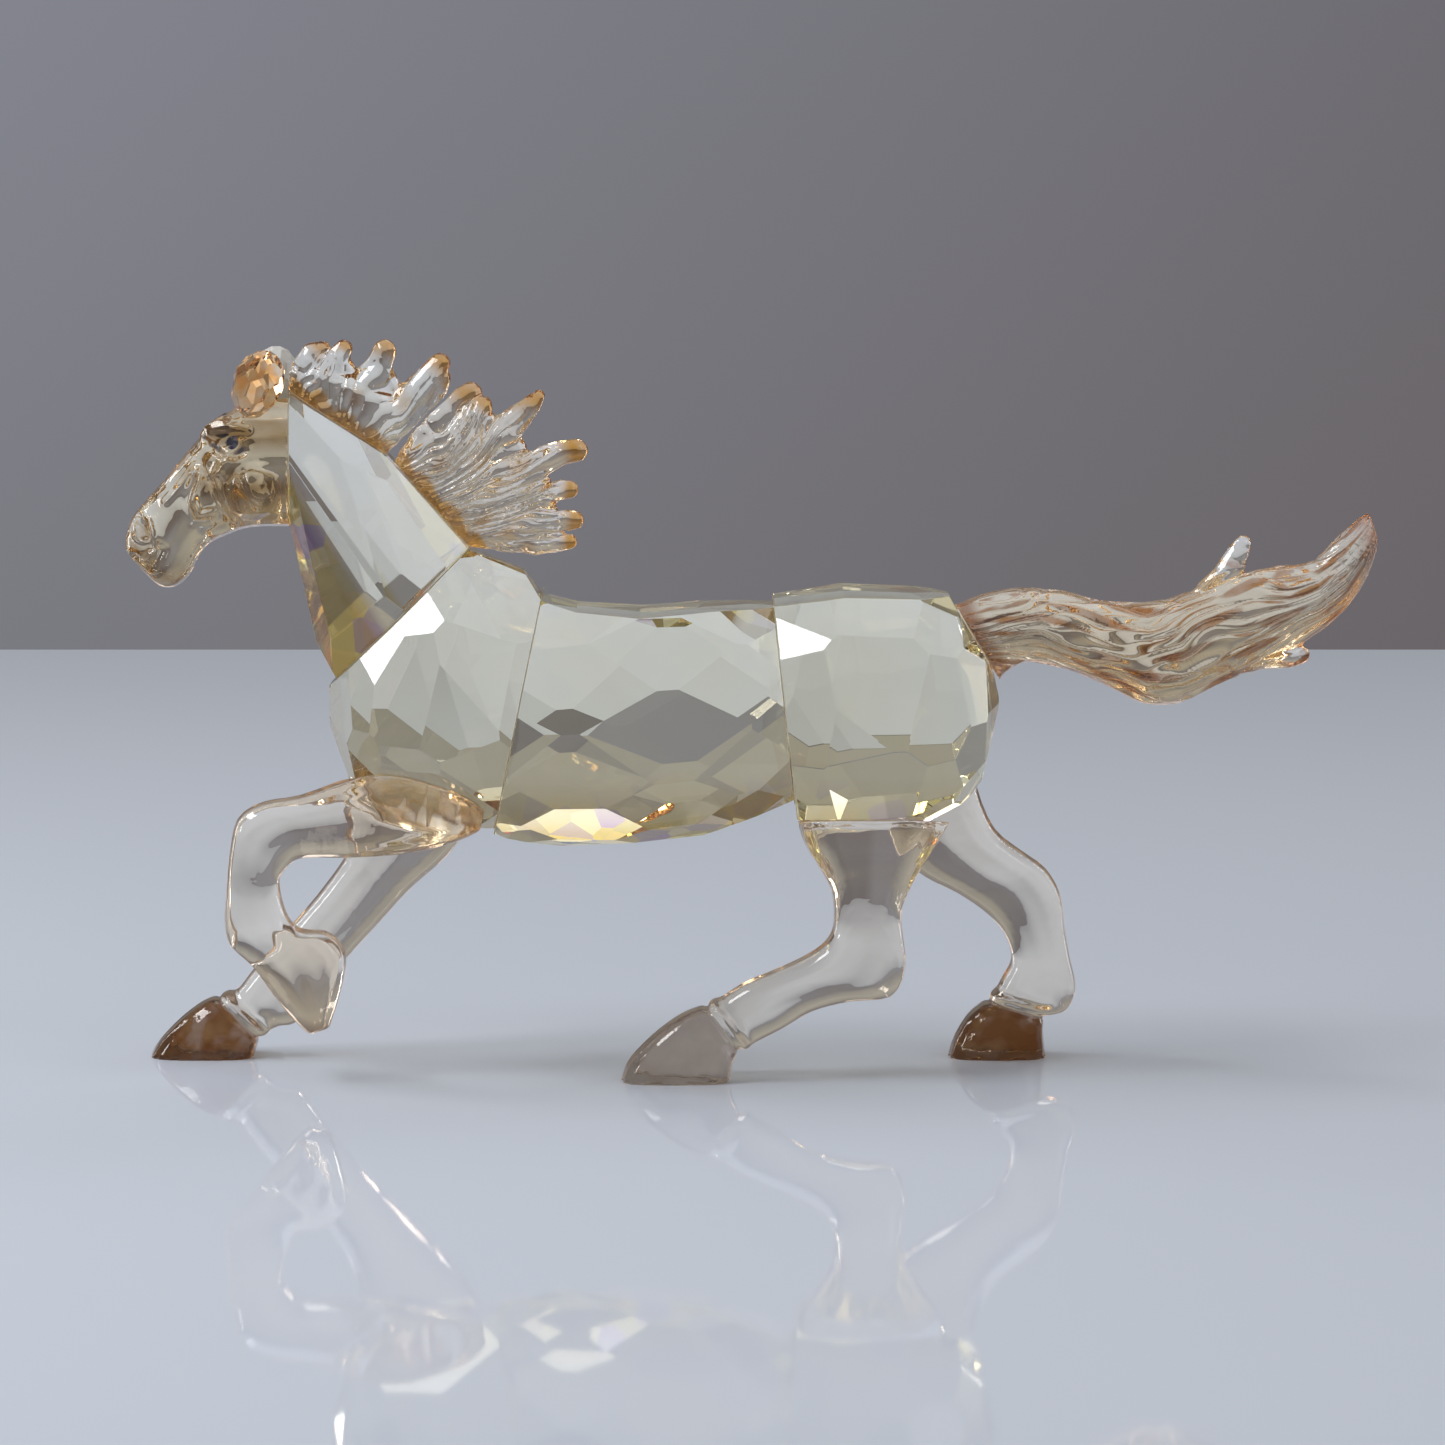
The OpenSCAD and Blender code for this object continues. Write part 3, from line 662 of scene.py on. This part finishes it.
def mane(node, keys, glue_normal, ridges, deep, tone, material):
    obj, hold, depth = casting(node, glue_normal, STRAND_VOXEL, 10)
    co = points_of(obj)
    across, along = along_strands(node, keys, co)
    side = np.sign(co[:, 1])
    wobble = 0.35 * np.sin(7 * along + 2.3 * across + 0.6 * side) + 0.15 * np.sin(17 * along + 5 * across)
    height = ridge(ridges * across / (len(keys) - 1) + wobble) - 1
    height *= 0.65 + 0.35 * np.sin(4.1 * across + 5 * along + side)
    fade = (1 - hold) * (1 - 0.8 * smoothstep(0.78, 0.95, along))
    set_points(obj, co + (deep * height * fade)[:, None] * normals_of(obj))
    relax(obj, 2, hold)
    tips = smoothstep(0.84, 1.0, along)
    band = 1 - smoothstep(1.2 * MM, 2.2 * MM, depth + 0.4 * MM * np.sin(co[:, 0] / (0.6 * MM)))
    patches = smoothstep(0.55, 0.95, np.sin(3.7 * across + 1) * np.sin(9 * along + 2 * across))
    finish_casting(obj, node, material, tone + 1.3 * tips + band + 0.5 * patches)


def tail(material):
    node = "tail"
    obj, hold, depth = casting(node, (-0.9, 0, -0.5), STRAND_VOXEL, 12)
    co = points_of(obj)
    length, height = shares(node, co)
    below = np.interp(length, TAIL_OUTLINE[:, 0], TAIL_OUTLINE[:, 1])
    above = np.interp(length, TAIL_OUTLINE[:, 0], TAIL_OUTLINE[:, 2])
    across = (height - below) / (above - below)
    side = np.sign(co[:, 1])
    phase = 8 * across + 0.9 * np.sin(6.5 * length + 2.5 * across + side)
    phase += 0.35 * np.sin(17 * length - 5 * across + 2 * side) + 0.15 * np.sin(41 * length + 9 * across)
    deep = 0.6 * MM * (0.62 + 0.38 * np.sin(9 * length + 6 * across + 1.5 * side))
    tuft = smoothstep(0.02, 0.15, across - 1) + smoothstep(0.02, 0.15, -across)
    fade = (1 - hold) * (1 - 0.6 * smoothstep(0.93, 1.0, length)) * (1 - 0.85 * np.minimum(tuft, 1))
    set_points(obj, co + (deep * (ridge(phase, 0.55) - 1) * fade)[:, None] * normals_of(obj))
    relax(obj, 1, hold)
    flow = np.sin(2 * np.pi * (3.1 * across + 0.6 * np.sin(4 * length) + 0.2 * side))
    streaks = smoothstep(0.35, 0.62, flow * np.sin(2 * np.pi * (2.3 * length + 1.7 * across + 0.3 * side)))
    tip = smoothstep(0.93, 1.0, length)
    root = 1 - smoothstep(1.0 * MM, 3.0 * MM, depth)
    finish_casting(obj, node, material, streaks + 0.8 * tip + 0.8 * root)


def to_line(co, line):
    """Distance of each point, seen from the side, to a line through (x, z) points in millimetres."""
    best = np.full(len(co), np.inf)
    p = co[:, (0, 2)]
    for start, end in zip(line, line[1:]):
        a, b = np.array(start) * MM, np.array(end) * MM
        share = np.clip((p - a) @ (b - a) / ((b - a) @ (b - a)), 0, 1)
        best = np.minimum(best, np.linalg.norm(p - a - share[:, None] * (b - a), axis=1))
    return best


# Lines drawn into the head's sides, (x, z) points in millimetres: width, height (below 0 is a groove), points
HEAD_LINES = (
    (0.50, -0.80, ((-88.1, 73.6), (-85.2, 72.3), (-84.0, 74.9))),  # mouth
    (0.55, 0.45, ((-78.0, 85.4), (-79.1, 82.0), (-78.3, 79.9), (-76.7, 80.3))),  # cheekbone
    (0.50, -0.55, ((-79.2, 85.2), (-80.3, 81.8), (-79.3, 79.0), (-77.0, 79.0))),
    (0.45, -0.70, ((-76.7, 84.9), (-75.7, 82.0), (-73.9, 78.8))),  # front of the jaw
    (0.45, 0.40, ((-76.0, 85.0), (-74.9, 82.0), (-73.5, 79.1))),
    (0.45, -0.50, ((-75.4, 85.1), (-74.4, 82.0), (-73.3, 79.6))),
    (0.70, 0.55, ((-73.9, 83.6), (-73.2, 80.9))),  # cheek
    (0.50, -0.45, ((-72.5, 85.1), (-71.5, 82.8), (-70.2, 81.2))),  # back of the cheek
    (0.70, 0.45, ((-78.8, 86.2), (-83.0, 81.7))),  # nose bone
    (0.55, -0.55, ((-87.0, 79.6), (-86.2, 78.6), (-85.3, 75.2))),  # wing of the nostril
    (0.60, 0.45, ((-76.4, 92.0), (-73.8, 92.4), (-71.4, 92.0))),  # brow
    (0.80, 0.60, ((-74.1, 88.0), (-75.4, 85.8))),  # tear bone
    (0.45, -0.45, ((-76.6, 89.4), (-75.2, 88.4), (-73.4, 88.2), (-71.8, 89.0))),  # lower lid
    (0.80, -0.50, ((-79.7, 71.7), (-78.3, 75.2))),  # hollow of the chin
)
NOSTRIL = ((-86.6, 78.2), (-86.3, 77.2))


def head(material):
    node = "head"
    obj, hold, _ = casting(node, (1, 0, 0), STRAND_VOXEL, 14)
    co = points_of(obj)
    normals = normals_of(obj)
    lift = np.zeros(len(co))
    for width, height, line in HEAD_LINES:
        lift += height * MM * np.exp(-((to_line(co, line) / (width * MM)) ** 2))
    nostril = to_line(co, NOSTRIL)
    lift -= 0.9 * MM * np.exp(-((nostril / (0.55 * MM)) ** 2))
    lift += 0.35 * MM * np.exp(-(((nostril - 1.2 * MM) / (0.45 * MM)) ** 2))
    sides = smoothstep(0.30, 0.70, np.abs(normals[:, 1]))
    set_points(obj, co + (lift * sides * (1 - hold))[:, None] * normals)
    relax(obj, 1, hold)

    def spot(line, size):
        return np.exp(-((to_line(co, line) / (size * MM)) ** 2))

    lips = spot(((-87.6, 75.2), (-86.8, 72.4), (-84.0, 70.6), (-82.2, 71.2)), 2.2)
    mottle = 0.7 + 0.3 * np.sin(co[:, 0] / (0.55 * MM)) * np.sin(co[:, 2] / (0.5 * MM))
    brow = spot(((-77.0, 91.4), (-75.6, 91.2)), 0.9) + spot(((-73.2, 91.6), (-72.4, 91.0)), 0.9)
    cheek = spot(((-73.6, 83.2), (-73.1, 80.7)), 0.9) + 0.8 * spot(((-73.8, 85.6), (-73.4, 84.6)), 0.8)
    # painted shade: two dark amber bands along the back of the head, standing in for the grey bands its flat
    # glass shows
    shade_bands = spot(((-74.0, 91.2), (-66.0, 91.2)), 2.4) + spot(((-77.0, 83.6), (-66.0, 83.6)), 1.9)
    amber = 0.95 * lips * mottle + 0.8 * brow + 0.8 * cheek + 0.9 * spot(NOSTRIL, 0.5) + shade_bands
    finish_casting(obj, node, material, amber)


def build():
    dress_stones()
    dress_films()
    dress_ears_and_eyes()
    # rim is the dark amber of the castings' painted rim shade
    clear, rim = (1, 0.985, 0.96), (0.32, 0.14, 0.04)
    leg_glass = casting_material(
        "leg_casting", (0.98, 0.95, 0.90), (0.20, 0.07, 0.012), rim, (0.97, 0.86, 0.70), 45
    )
    leg("leg_front_left", (0.2, 0.6, 0.8), leg_glass)
    leg("leg_front_right", (0.2, -0.6, 0.8), leg_glass)
    leg("leg_hind_left", (0, 0.2, 1), leg_glass)
    leg("leg_hind_right", (-0.4, -0.2, 0.9), leg_glass)
    head(casting_material("head_casting", clear, (0.40, 0.25, 0.10), rim, (0.93, 0.82, 0.56), 90))
    mane_glass = casting_material("mane_casting", clear, (0.82, 0.42, 0.09), rim, (0.95, 0.84, 0.58), 75)
    mane("mane_front", FRONT_STRANDS, (-0.54, 0, -0.84), 11, 0.45 * MM, 0, mane_glass)
    mane("mane_rear", REAR_STRANDS, (-0.75, 0, -0.66), 20, 0.72 * MM, 0.12, mane_glass)
    tail(casting_material("tail_casting", clear, (0.36, 0.12, 0.03), rim, (0.97, 0.82, 0.52), 80))


def main():
    scene = bpy.context.scene
    scene.view_settings.view_transform = "Standard"
    for bounces, count in (("max_bounces", 24), ("transmission_bounces", 24), ("glossy_bounces", 12)):
        setattr(scene.cycles, bounces, count)
    add_camera()
    table_top()
    world_light()
    for values in SOFTBOXES:
        softbox(*values)
    build()


main()
